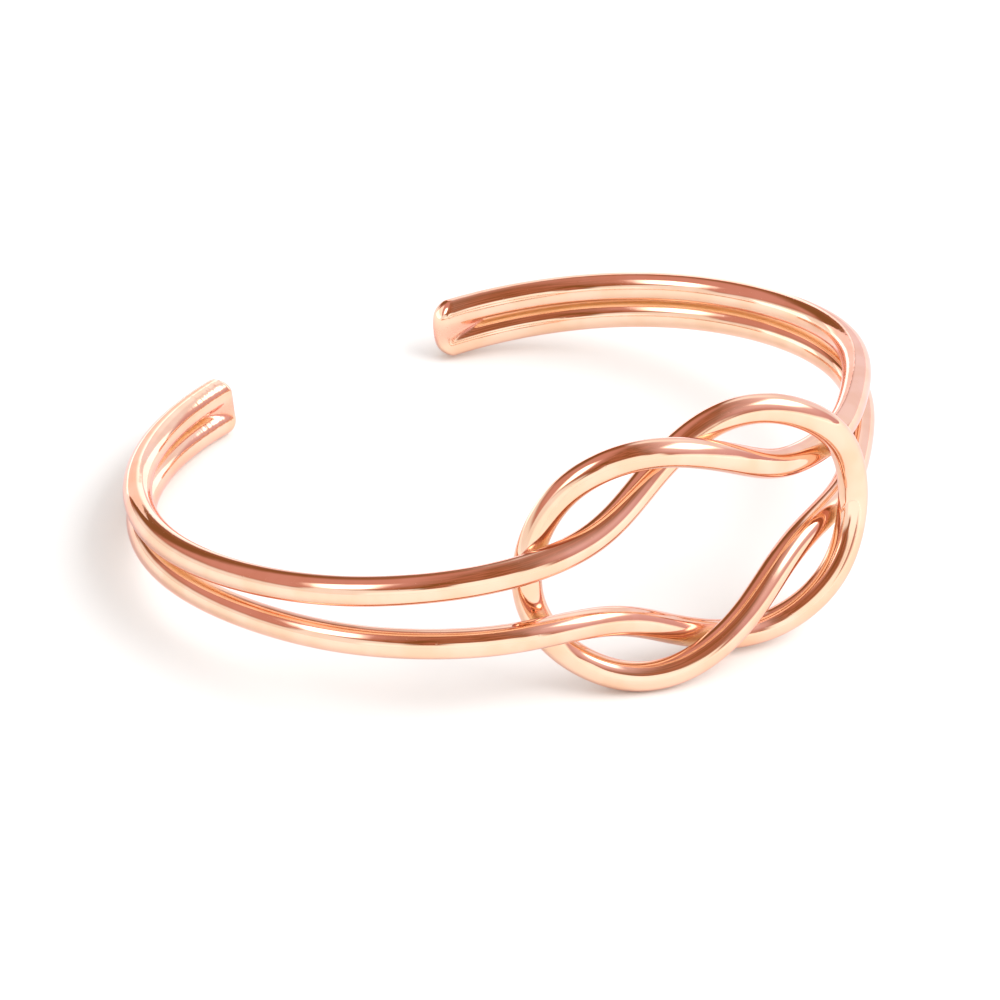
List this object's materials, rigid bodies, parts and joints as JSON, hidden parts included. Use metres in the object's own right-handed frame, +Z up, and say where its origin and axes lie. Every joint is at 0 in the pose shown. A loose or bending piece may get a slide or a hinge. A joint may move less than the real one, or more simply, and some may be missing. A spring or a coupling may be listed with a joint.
{
  "type": "knot bangle",
  "caption": "Open cuff bangle of polished rose gold wire, with a flat square knot of interlocked loops at the front and soldered round tips at the back.",
  "frame": {"origin": "middle of the bounding box, on the surface that the bangle lies on", "axes": "+Z up from that surface, which is the way a hand goes through; -Y towards the knot at the front, +Y towards the open back; +X towards the right arm as the knot faces the viewer"},
  "size_m": [0.0658, 0.056, 0.022],
  "materials": {
    "rose_gold": "polished"
  },
  "bodies": {
    "root": {"left_loop": "rose_gold", "right_loop": "rose_gold"}
  },
  "joints": []
}
